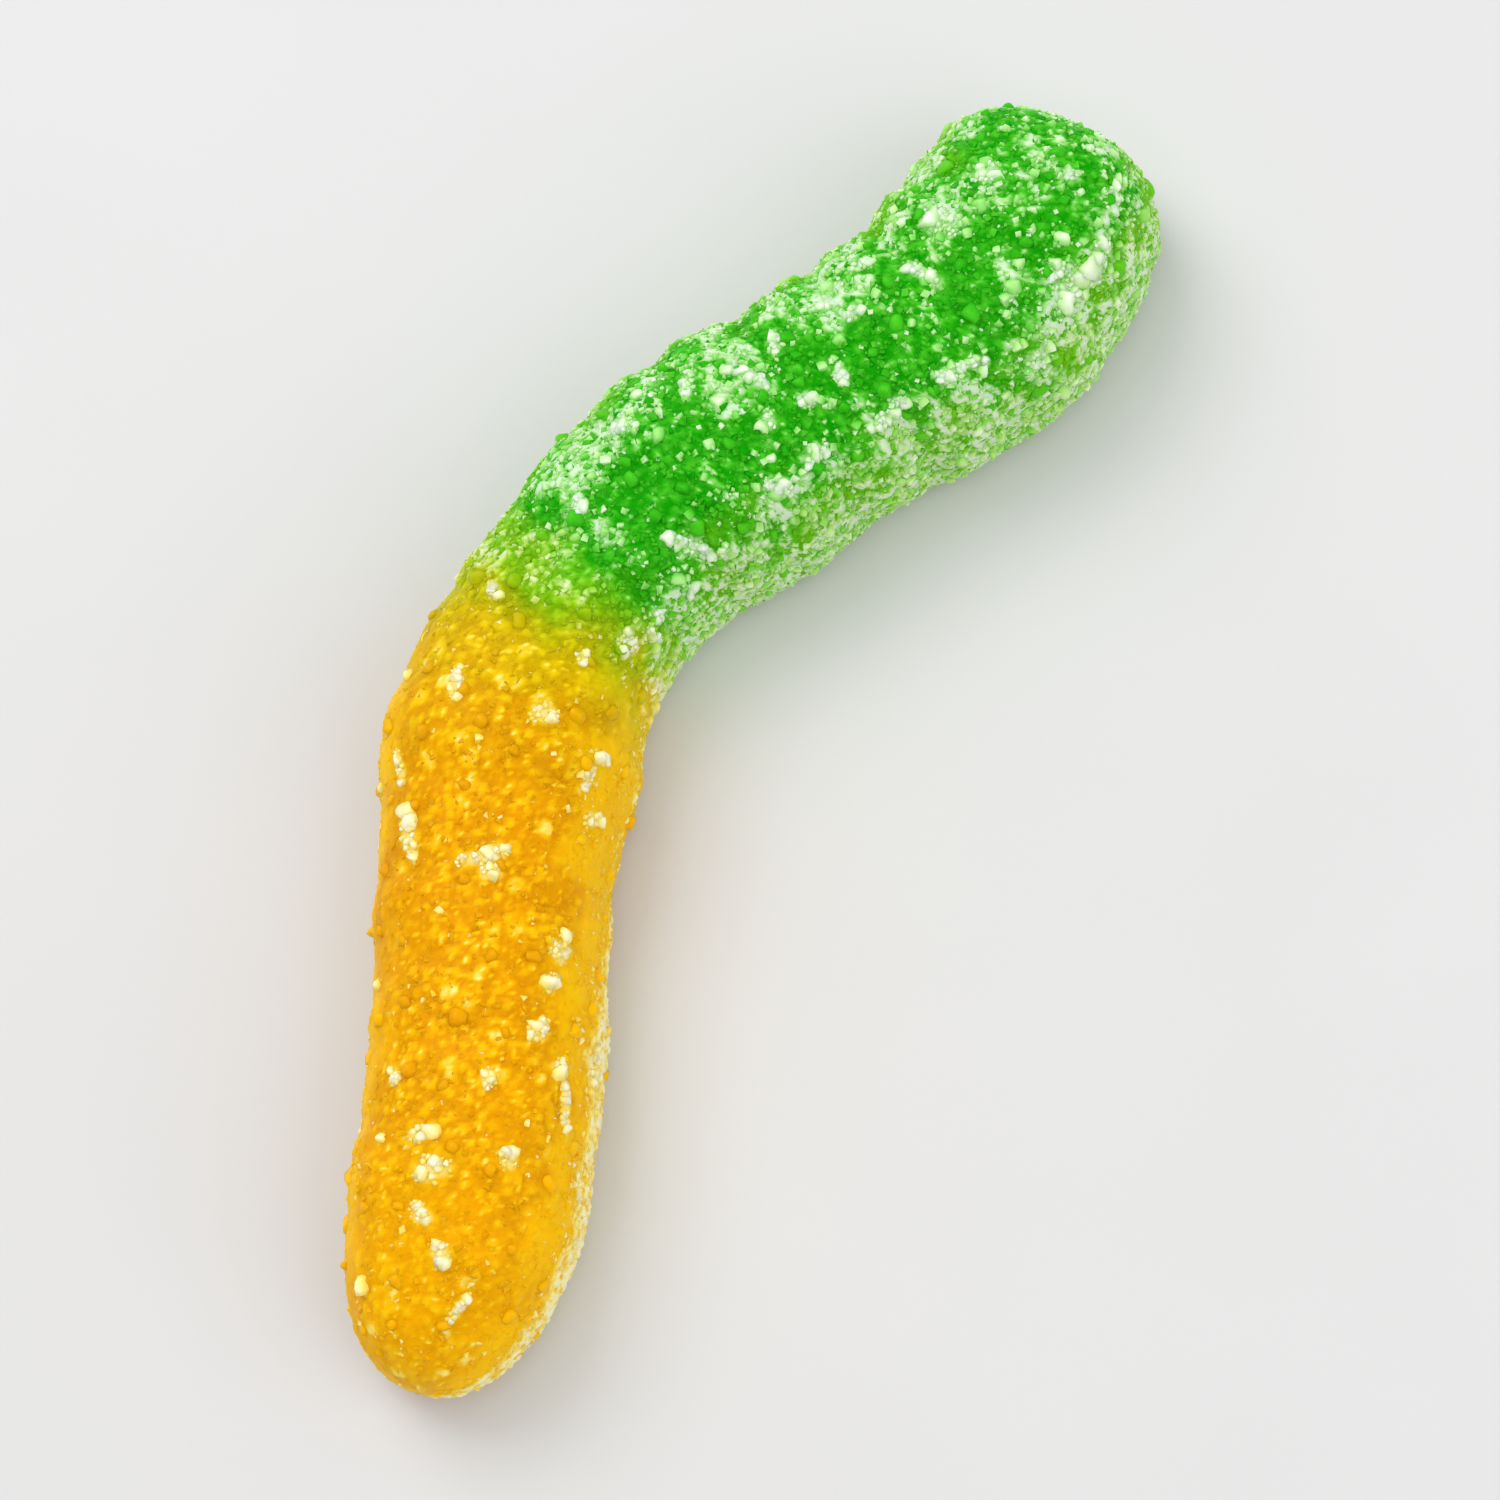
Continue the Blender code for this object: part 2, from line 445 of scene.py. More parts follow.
LARGE_CLUMPS: tuple[Clump, ...] = (
    Clump(4.0, 50.0, 1.2, 0.9, 55.0),
    Clump(5.5, 100.0, 1.2, 1.1, 30.0),
    Clump(6.0, 45.0, 1.2, 1.0),
    Clump(7.5, 45.0, 2.2, 1.4, -20.0),
    Clump(9.0, 105.0, 1.6, 1.4, -10.0),
    Clump(10.0, 35.0, 1.4, 1.1, 20.0),
    Clump(11.5, 95.0, 1.4, 0.6, -55.0),
    Clump(13.0, 55.0, 1.4, 0.8, -10.0),
    Clump(13.5, 115.0, 1.2, 0.7, -10.0),
    Clump(16.0, 110.0, 1.1, 0.8, 30.0),
    Clump(16.5, 50.0, 1.6, 0.7),
    Clump(19.0, 80.0, 0.8, 0.7, -40.0),
    Clump(20.0, 55.0, 1.4, 0.9, 10.0),
    Clump(21.0, 80.0, 0.9, 0.7, 30.0),
    Clump(23.0, 110.0, 1.3, 0.7, 50.0),
    Clump(27.5, 50.0, 2.7, 0.9, -60.0),
    Clump(32.5, 30.0, 1.3, 0.5, -80.0),
    Clump(34.0, 40.0, 1.2, 1.1),
    Clump(39.0, 105.0, 1.4, 0.5, 10.0),
    Clump(39.5, 70.0, 1.1, 1.0, -75.0),
    Clump(42.0, 40.0, 1.4, 0.5),
    Clump(42.5, 130.0, 1.6, 0.5, 20.0),
    Clump(44.0, 30.0, 1.2, 0.8, -65.0),
    Clump(45.5, 120.0, 2.3, 0.9, 15.0),
    Clump(46.5, 85.0, 1.8, 0.8, -70.0),
    Clump(50.5, 45.0, 1.1, 1.0, -75.0),
    Clump(52.0, 50.0, 1.0, 0.8, -55.0),
    Clump(54.0, 55.0, 1.2, 0.7, -50.0),
    Clump(55.0, 10.0, 2.2, 0.8, -10.0),
    Clump(55.5, 40.0, 1.0, 0.8, -60.0),
    Clump(57.0, 35.0, 1.8, 0.5, 10.0),
    Clump(59.0, 100.0, 1.1, 0.7, -80.0),
    Clump(59.5, 65.0, 0.9, 0.8, -80.0),
    Clump(60.0, 10.0, 2.2, 0.5, 40.0),
    Clump(60.5, 95.0, 1.4, 1.0, -15.0),
    Clump(62.0, 0.0, 1.6, 0.5, 50.0),
    Clump(64.0, 85.0, 1.1, 0.7, 25.0),
    Clump(66.0, 70.0, 1.4, 0.5, -25.0),
)


def small_clumps(count: int, seed: int) -> tuple[Clump, ...]:
    """Draws small clumps on the upper side, more of them towards the green tip: s = 3 + 63 u^1.4.

    Args:
        count: How many.
        seed: Another seed gives other places.

    Returns:
        The clumps.
    """
    draw = np.random.default_rng(seed)
    along = 3.0 + 63.0 * draw.uniform(size=count) ** 1.4
    angle = draw.uniform(30.0, 125.0, count)
    length = draw.uniform(0.7, 1.1, count)
    width = draw.uniform(0.5, 0.75, count)
    lean = draw.uniform(-80.0, 80.0, count)
    return tuple(Clump(*map(float, row)) for row in zip(along, angle, length, width, lean))


@dataclass(frozen=True)
class SkinMap:
    """Where the sugar is thick, and where the gel is green, amber or lighter.

    Cover is the share of the skin that white sugar hides. Place is the distance along the worm that sets
    the gel's colour. Edge glow is how far that colour is shifted to a lighter one, a painted glow that
    stands in for light shining through thin gel.

    The strengths are shares of cover. A name that ends in green or tip is what is added there, and a wander
    is how far a noise shifts a change along the worm.
    """

    form: WormForm
    change_at: float = 34.4
    change_reach: float = 2.5
    change_wander: float = 2.4
    slant: float = -0.2
    green_cover: float = 0.31
    yellow_cover: float = 0.06
    right_wall: float = 0.26
    right_wall_green: float = 0.24
    right_wall_tip: float = 0.56
    right_wall_wander: float = 7.0
    left_wall: float = 0.2
    left_wall_green: float = 0.05
    shoulders: float = 0.27
    green_tip: float = 0.4
    green_tip_reach: float = 2.6
    clouds: float = 0.16
    clouds_green: float = 0.44
    flecks_green: float = 0.42
    flecks_low: float = 0.3
    thin_loss: float = 0.45
    groove_loss: float = 0.5
    clump_rim: float = 0.08
    change_noise: Noise = Noise(1.7, 29)
    wall_noise: Noise = Noise(2.6, 25)
    cloud_noise: Noise = Noise(1.9, 5)
    fleck_noise: Noise = Noise(0.8, 15)
    clump_noise: Noise = Noise(0.36, 13)
    edge_glow_noise: Noise = Noise(1.6, 9)
    frosted: tuple[Patch, ...] = (
        Patch(3.0, 90.0, 1.4, 0.3),
        Patch(5.5, 25.0, 0.9, 0.4),
        Patch(8.5, 45.0, 1.8, 0.55),
        Patch(9.0, 105.0, 1.1, 0.35),
        Patch(11.5, 115.0, 0.8, 0.4),
        Patch(12.5, 30.0, 1.1, 0.35),
        Patch(16.0, 110.0, 1.5, 0.5),
        Patch(16.5, 35.0, 1.1, 0.4),
        Patch(20.0, 115.0, 0.9, 0.4),
        Patch(21.0, 25.0, 1.1, 0.35),
        Patch(21.5, 95.0, 1.0, 0.45),
        Patch(23.5, 45.0, 1.5, 0.4),
        Patch(25.0, 105.0, 1.4, 0.35),
        Patch(27.5, 50.0, 1.2, 0.3),
        Patch(29.0, 110.0, 1.3, 0.4),
        Patch(31.5, 105.0, 0.9, 0.3),
        Patch(33.0, 95.0, 1.3, 0.3),
        Patch(34.0, 40.0, 1.0, 0.4),
        Patch(42.0, 40.0, 1.2, 0.35),
        Patch(44.5, 30.0, 1.0, 0.35),
        Patch(50.0, 40.0, 1.2, 0.3),
        Patch(54.5, 15.0, 1.5, 0.35),
    )
    clear: tuple[Patch, ...] = (
        Patch(6.0, 70.0, 1.2, 0.3),
        Patch(8.0, 90.0, 1.3, 0.3),
        Patch(15.0, 80.0, 2.2, 0.4),
        Patch(18.5, 90.0, 1.1, 0.3),
        Patch(21.0, 70.0, 1.2, 0.3),
        Patch(26.5, 70.0, 1.7, 0.35),
        Patch(31.0, 55.0, 1.4, 0.3),
    )
    # Patches where light shining through thin gel is painted as a lighter colour, with less sugar over them.
    thin: tuple[Patch, ...] = (
        Patch(4.5, 30.0, 0.8, 0.7),
        Patch(5.5, 120.0, 0.7, 0.6),
        Patch(9.0, 25.0, 0.9, 0.7),
        Patch(11.0, 135.0, 1.0, 0.7),
        Patch(11.5, 20.0, 0.8, 0.6),
    )
    clumps: tuple[Clump, ...] = LARGE_CLUMPS + small_clumps(24, 83)

    def greenness(self, along: np.ndarray) -> np.ndarray:
        """Falls from 1 on the green half to 0 on the yellow half, in one smooth step."""
        start = self.change_at - self.change_reach
        return 1.0 - smooth_step(along, start, self.change_at + self.change_reach)

    def sum_of(self, patches: tuple[Patch, ...], points: np.ndarray) -> np.ndarray:
        """Adds up patches, each strength * exp(-(d / radius)^2) with d the distance to its centre.

        Args:
            patches: The patches.
            points: The skin's points.

        Returns:
            Their sum at each point.
        """
        total = np.zeros(points.shape[:-1])
        for patch in patches:
            centre = self.form.skin(np.array(patch.along), np.array(math.radians(patch.angle)))
            apart = np.linalg.norm(points - centre, axis=-1) / patch.radius
            total = total + patch.strength * np.exp(-(apart**2))
        return total

    def near_clumps(self, places: SkinSample) -> np.ndarray:
        """Finds how close the nearest clump is, as exp(-d^4) with d = 1 on an uneven oval round it.

        Args:
            places: Where on the skin.

        Returns:
            1 in the middle of a clump and 0 well away from all.
        """
        nearest = np.full(np.shape(places.along), FAR)
        for clump in self.clumps:
            lean = math.radians(clump.lean)
            ahead = places.along - clump.along
            aside = self.form.half_width * (math.radians(clump.angle) - places.angle)
            lengthwise = ahead * math.cos(lean) + aside * math.sin(lean)
            across = aside * math.cos(lean) - ahead * math.sin(lean)
            half_length = 0.5 * clump.length + self.clump_rim
            half_width = 0.5 * clump.width + self.clump_rim
            nearest = np.minimum(nearest, np.hypot(lengthwise / half_length, across / half_width))
        nearest = nearest * (0.7 + 0.7 * self.clump_noise.at(places.points))
        return np.exp(-(np.minimum(nearest, 3.0) ** 4))

    def cover(self, places: SkinSample) -> np.ndarray:
        """Adds up the coat: each half's own cover, and what walls, shoulders, the green tip and patches add.

        Each adds its strength times a smooth step of the angle or the distance along the worm. A broad noise
        makes clouds in the coat and a fine one flecks. It is thinner over thin gel and in ring grooves.

        Args:
            places: Where on the skin.

        Returns:
            The cover, from 0 to 1.
        """
        points = places.points
        cosine = np.cos(places.angle)
        green = self.greenness(places.along + self.change_wander * self.change_noise.swing(points))
        low = smooth_step(-np.sin(places.angle), -0.5, 0.0)
        right = smooth_step(cosine, 0.3, 0.8) * low
        left = smooth_step(-cosine, 0.3, 0.8) * low
        shoulder = smooth_step(cosine, 0.45, 0.85) + 0.8 * smooth_step(-cosine, 0.2, 0.6)
        near_yellow_tip = smooth_step(
            places.along + self.right_wall_wander * self.wall_noise.swing(points), 44.0, 56.0
        )
        near_green_tip = smooth_step(self.green_tip_reach - places.along, 0.0, self.green_tip_reach)
        right_wall = self.right_wall + self.right_wall_green * green + self.right_wall_tip * near_yellow_tip
        left_wall = self.left_wall + self.left_wall_green * green
        flecks = self.flecks_green * green + self.flecks_low * (1.0 - green) * low
        cover = self.yellow_cover + (self.green_cover - self.yellow_cover) * green
        cover = cover + right_wall * right + left_wall * left
        cover = cover + self.shoulders * green * shoulder + self.green_tip * green * near_green_tip
        cover = cover + (self.clouds + self.clouds_green * green) * self.cloud_noise.swing(points)
        cover = cover + flecks * (smooth_step(self.fleck_noise.at(points), 0.38, 0.68) - 0.42)
        cover = cover + self.sum_of(self.frosted, points) - self.sum_of(self.clear, points)
        cover = cover - self.thin_loss * self.sum_of(self.thin, points)
        groove = self.form.ring_groove(places.along, places.angle)
        return np.clip(cover - self.groove_loss * groove, 0.0, 1.0)

    def place(self, places: SkinSample) -> np.ndarray:
        """Slants the change of colour across the worm: s + slant * cos(angle)."""
        return places.along + self.slant * np.cos(places.angle)

    def calm(self, places: SkinSample) -> np.ndarray:
        """Tells the flanks of the yellow half, which are smooth and wet, the left one most.

        Args:
            places: Where on the skin.

        Returns:
            Up to 1 on the left flank, up to 0.5 on the right one and 0 elsewhere.
        """
        left = smooth_step(-np.cos(places.angle), 0.5, 0.8)
        right = smooth_step(np.cos(places.angle), 0.6, 0.95)
        high = smooth_step(np.sin(places.angle), -0.1, 0.35)
        return (1.0 - self.greenness(places.along)) * (left + 0.5 * right) * high

    def edge(self, places: SkinSample) -> np.ndarray:
        """Paints a glow: rises towards both sides of the worm, unevenly, and in the patches of thin gel,
        where a lighter colour stands in for light shining through the gel.

        Args:
            places: Where on the skin.

        Returns:
            How far the colour is shifted to the lighter colour of painted glow, from 0 to 1.
        """
        # Painted glow: a lighter colour at both sides and in the thin patches stands in for light shining
        # through the gel.
        across = np.abs(np.cos(places.angle)) + 0.5 * self.edge_glow_noise.swing(places.points)
        sides = 0.85 * smooth_step(across, 0.6, 1.0)
        return np.clip(sides + self.sum_of(self.thin, places.points), 0.0, 1.0)


BLOCK_CORNERS = np.array([(x, y, z) for z in (-1.0, 1.0) for y in (-1.0, 1.0) for x in (-1.0, 1.0)])
LUMPS = Noise(0.34, 17)


class BlockTemplate:
    """A block whose faces are cut into squares and whose edges are rounded, for bending into crystals."""

    def __init__(self, cuts: int, power: float) -> None:
        """Builds the template: v / (|x|^p + |y|^p + |z|^p)^(1 / p) for points v on a cube.

        With one cut there is nothing to round, and the block keeps the cube's corners.

        Args:
            cuts: Squares along each edge.
            power: How sharp its edges stay. A sphere is 2 and a cube is infinite.
        """
        self.cuts = cuts
        steps = np.linspace(-1.0, 1.0, cuts + 1)
        points: list[tuple[float, ...]] = []
        faces: list[list[int]] = []
        numbers: dict[tuple[float, ...], int] = {}
        for axis in range(3):
            for end in (-1.0, 1.0):
                for i, j in np.ndindex(cuts, cuts):
                    square = [(steps[i], steps[j]), (steps[i + 1], steps[j])]
                    square += [(steps[i + 1], steps[j + 1]), (steps[i], steps[j + 1])]
                    corner_numbers = []
                    for a, b in square:
                        place = [0.0, 0.0, 0.0]
                        place[axis] = end
                        place[(axis + 1) % 3] = a
                        place[(axis + 2) % 3] = b
                        key = tuple(round(value, 6) for value in place)
                        if key not in numbers:
                            numbers[key] = len(points)
                            points.append(key)
                        corner_numbers.append(numbers[key])
                    faces.append(corner_numbers if end > 0.0 else corner_numbers[::-1])
        cube = np.array(points)
        norm = np.sum(np.abs(cube) ** power, axis=-1, keepdims=True) ** (1.0 / power)
        if cuts > 1:
            cube = cube / norm
        self.faces = np.array(faces)
        self.weights = np.prod(0.5 * (1.0 + BLOCK_CORNERS[None] * cube[:, None]), axis=-1)

    def bend(self, corners: np.ndarray, lumpiness: float = 0.0) -> tuple[np.ndarray, np.ndarray]:
        """Bends one copy into each set of eight corners, by weighing the corners in three directions.

        Args:
            corners: The corners of every block, (n, 8, 3).
            lumpiness: How far noise moves the vertices, as a share of their distance to the middle.

        Returns:
            All vertices, (n * k, 3), and all faces.
        """
        vertices = np.einsum("kc,ncj->nkj", self.weights, corners)
        middle = corners.mean(axis=1, keepdims=True)
        lumps = 2.0 * LUMPS.at(vertices) - 1.0
        vertices = middle + (vertices - middle) * (1.0 + lumpiness * lumps)[..., None]
        count = self.weights.shape[0]
        faces = self.faces[None] + count * np.arange(len(corners))[:, None, None]
        return vertices.reshape(-1, 3), faces.reshape(-1, 4)

    @property
    def size(self) -> int:
        """The number of vertices in one copy."""
        return self.weights.shape[0]


PEBBLE = BlockTemplate(cuts=3, power=4.0)


def random_turns(draw: np.random.Generator, count: int) -> np.ndarray:
    """Draws rotations from random quaternions.

    Args:
        draw: The source of randomness.
        count: How many.

    Returns:
        Rotation matrices, (count, 3, 3).
    """
    w, x, y, z = draw.normal(size=(4, count))
    scale = 2.0 / (w * w + x * x + y * y + z * z)
    rows = [
        [1.0 - scale * (y * y + z * z), scale * (x * y - w * z), scale * (x * z + w * y)],
        [scale * (x * y + w * z), 1.0 - scale * (x * x + z * z), scale * (y * z - w * x)],
        [scale * (x * z - w * y), scale * (y * z + w * x), 1.0 - scale * (x * x + y * y)],
    ]
    return np.moveaxis(np.array(rows), -1, 0)


def uneven_blocks(
    draw: np.random.Generator, places: SkinSample, sizes: np.ndarray, lift: np.ndarray
) -> np.ndarray:
    """Stands a block with uneven sides, turned at random, on each place of the skin.

    Args:
        draw: The source of randomness.
        places: Where the blocks stand.
        sizes: The blocks' sizes, (n,).
        lift: How far each block's centre is lifted off the skin, (n,).

    Returns:
        The corners of every block, (n, 8, 3).
    """
    count = len(sizes)
    sizes = sizes[:, None, None]
    half_sides = 0.5 * sizes * draw.uniform(0.82, 1.08, (count, 1, 3))
    uneven = draw.uniform(0.72, 1.08, (count, 8, 1))
    turns = random_turns(draw, count)
    blocks = np.einsum("nij,nkj->nki", turns, BLOCK_CORNERS * uneven * half_sides)
    return blocks + places.points[:, None] + lift[:, None, None] * places.normals[:, None]


@dataclass(frozen=True)
class GummyBody:
    """The gel, with the crust of sugar that has half dissolved into its skin."""

    skin_map: SkinMap
    stations: int = 500
    sides: int = 196
    crust_cell: float = 0.46
    crust_height: float = 0.15
    crust_radius: float = 0.62
    crust_share: float = 0.45
    grit_cell: float = 0.26
    grit_height: float = 0.05
    grit_radius: float = 0.6
    speck_above: float = 0.86
    spot_cell: float = 0.95
    spot_radius: float = 0.42
    spot_share: float = 0.2
    veil: float = 0.5
    calm_loss: float = 0.75
    whitest: float = 0.85
    floor_gap: float = 0.1

    def crust(self, places: SkinSample, cover: np.ndarray) -> tuple[np.ndarray, np.ndarray]:
        """Raises coarse and fine bumps, h * (1 - (d / r)^2), the coarse ones where the cover lets them.

        The bumps are white in part. Some fine ones are specks, a few round spots lie between them, and a
        veil covers the skin where the coat is thick. Calm skin is clearer.

        Args:
            places: Where on the skin.
            cover: The sugar's cover there.

        Returns:
            How far the crust stands out, and how white it looks from 0 to 1.
        """
        near, pick = cell_noise(places.points, self.crust_cell, 21)
        bump = np.clip(1.0 - (near / self.crust_radius) ** 2, 0.0, 1.0)
        there = smooth_step(self.crust_share + 0.65 * cover - pick, -0.1, 0.1)
        near, grit_pick = cell_noise(places.points, self.grit_cell, 33)
        grit = np.clip(1.0 - (near / self.grit_radius) ** 2, 0.0, 1.0)
        height = self.crust_height * bump * there * (0.4 + 0.6 * cover) + self.grit_height * grit
        white = bump * there * (0.3 + 0.35 * cover)
        white = white + grit * smooth_step(0.45 + cover - grit_pick, -0.1, 0.1) * (0.16 + 0.3 * cover)
        white = white + 0.45 * smooth_step(grit, 0.3, 0.7) * (grit_pick > self.speck_above)
        near, spot_pick = cell_noise(places.points, self.spot_cell, 27)
        spots = smooth_step(self.spot_radius + 0.2 * spot_pick - near, -0.1, 0.12)
        spots = spots * (spot_pick < self.spot_share)
        veil = self.veil * smooth_step(cover, 0.35, 0.85)
        clearer = 1.0 - self.calm_loss * self.skin_map.calm(places)
        return height, np.clip((white + 0.35 * spots) * clearer + veil, 0.0, self.whitest)

    def build(self) -> bpy.types.Object:
        """Makes the gel as one closed grid of the skin, moved out along its normals by the crust.

        Returns:
            The object.
        """
        form = self.skin_map.form
        share = np.linspace(0.0, 1.0, self.stations + 2)
        along = form.length * (0.5 - 0.5 * np.cos(math.pi * share))
        even = np.linspace(0.0, form.length, self.stations + 2)
        along = (0.2 * along + 0.8 * even)[1:-1]
        angle = form.even_angles(self.sides)
        closed = np.append(angle, angle[0] + 2.0 * math.pi)
        sample = SkinSample.over(form, along, closed).without_seam()
        height, white = self.crust(sample, self.skin_map.cover(sample))
        white = np.maximum(white, 0.75 * self.skin_map.near_clumps(sample))
        grid = sample.points + height[..., None] * sample.normals
        grid[..., 2] = np.maximum(grid[..., 2], self.floor_gap)
        tips = form.skin(np.array([0.0, form.length]), np.zeros(2))
        vertices = np.concatenate([grid.reshape(-1, 3), tips])
        obj = new_object("worm_gel", vertices, self.faces(), True)
        store(obj, Attribute.PLACE, np.append(self.skin_map.place(sample), [0.0, form.length]))
        store(obj, Attribute.EDGE, np.append(self.skin_map.edge(sample), [1.0, 1.0]))
        store(obj, Attribute.WHITE, np.append(white, [0.5, 0.2]))
        return obj

    def faces(self) -> list[list[int]]:
        """Joins neighbours of the grid into quads, and each end ring to its tip by triangles.

        Returns:
            The faces, as lists of vertex numbers.
        """
        station = np.arange(self.stations - 1)[:, None] * self.sides
        side = np.arange(self.sides)[None, :]
        beside = (side + 1) % self.sides
        ahead = station + self.sides
        quads = [station + side, station + beside, ahead + beside, ahead + side]
        faces = np.stack(quads, axis=-1).reshape(-1, 4).tolist()
        first_tip = self.stations * self.sides
        last = (self.stations - 1) * self.sides
        ring = np.arange(self.sides)
        following = (ring + 1) % self.sides
        green_tip = np.full_like(ring, first_tip)
        faces += np.stack([following, ring, green_tip], axis=-1).tolist()
        faces += np.stack([last + ring, last + following, green_tip + 1], axis=-1).tolist()
        return faces


def join_crystals(
    name: str,
    template: BlockTemplate,
    corners: np.ndarray,
    places: SkinSample,
    skin_map: SkinMap,
    white: np.ndarray,
    lumpiness: float = 0.0,
    soaked: float = 0.45,
) -> bpy.types.Object:
    """Makes one object of many crystals, kept above the floor, with the values that their material reads.

    Syrup soaks their feet: white * (1 - soaked * (1 - h / top)), with h a vertex's height above the skin.

    Args:
        name: The object's name.
        template: The crystals' shape.
        corners: The corners of every crystal, (n, 8, 3).
        places: Where on the skin each one sits.
        skin_map: The map that its colour is read from.
        white: How white it is, (n,).
        lumpiness: How uneven its surface is.
        soaked: How far its foot takes the gel's colour, from 0 to 1.

    Returns:
        The object.
    """
    vertices, faces = template.bend(corners, lumpiness)
    apart = vertices.reshape(len(corners), template.size, 3) - places.points[:, None]
    height = np.sum(apart * places.normals[:, None], axis=-1)
    height = np.clip(height / np.maximum(height.max(axis=1, keepdims=True), 0.02), 0.0, 1.0)
    white = np.clip(white, 0.0, 1.0)[:, None] * (1.0 - soaked * (1.0 - height))
    vertices[:, 2] = np.maximum(vertices[:, 2], 0.0)
    obj = new_object(name, vertices, faces.tolist(), template.cuts > 2)
    store(obj, Attribute.PLACE, np.repeat(skin_map.place(places), template.size))
    store(obj, Attribute.EDGE, np.repeat(skin_map.edge(places), template.size))
    store(obj, Attribute.WHITE, white.ravel())
    return obj


@dataclass(frozen=True)
class CoarseGrains:
    """The coarse grains that the solid has, drawn by the same rule from the same seed."""

    skin_map: SkinMap
    count: int = 220
    largest: float = 0.95
    smallest: float = 0.6
    spacing: float = 1.6
    sunk: float = 0.18
    seed: int = 11
    lowest: float = 1.2
    yellow_share: float = 0.35
    change_at: float = 34.5
    change_reach: float = 3.0
    tip_gap: float = 0.6
    angles: tuple[float, float] = (-50.0, 230.0)
    grid: tuple[int, int] = (700, 120)
    draws: int = 6000
    lumpiness: float = 0.25

    def places(self) -> SkinSample:
        """Draws places weighted by area and sugar, passing over those too close to one already taken.

        Returns:
            The places, those of the largest grains first.
        """
        draw = np.random.default_rng(self.seed)
        along = np.linspace(self.tip_gap, self.skin_map.form.length - self.tip_gap, self.grid[0])
        angle = np.linspace(math.radians(self.angles[0]), math.radians(self.angles[1]), self.grid[1])
        sample = SkinSample.over(self.skin_map.form, along, angle)
        start = self.change_at - self.change_reach
        yellow = smooth_step(sample.along, start, self.change_at + self.change_reach)
        share = 1.0 - (1.0 - self.yellow_share) * yellow
        weight = (sample.area * share * (sample.points[..., 2] > self.lowest)).ravel()
        order = draw.choice(weight.size, size=self.draws, replace=False, p=weight / weight.sum())
        points = sample.points.reshape(-1, 3)
        taken: list[int] = []
        for index in order:
            if taken:
                nearest = np.linalg.norm(points[taken] - points[index], axis=1).min()
                if nearest < self.spacing:
                    continue
            taken.append(int(index))
            if len(taken) == self.count:
                break
        return sample.take(np.array(taken))

    def build(self) -> bpy.types.Object:
        """Makes the grains, white on the green half and mostly amber on the yellow half.

        Returns:
            The object.
        """
        places = self.places()
        draw = np.random.default_rng(self.seed + 1)
        sizes = np.linspace(self.largest, self.smallest, len(places.along))
        corners = uneven_blocks(draw, places, sizes, -self.sunk * sizes)
        green = self.skin_map.greenness(places.along)
        cover = self.skin_map.cover(places)
        luck = draw.uniform(size=len(sizes))
        dry = luck < 0.08 + 0.1 * green + 0.45 * cover
        white = np.where(dry, draw.uniform(0.6, 0.95, len(sizes)), 0.05 + 0.3 * green * luck)
        return join_crystals("sugar_coarse", PEBBLE, corners, places, self.skin_map, white, self.lumpiness)


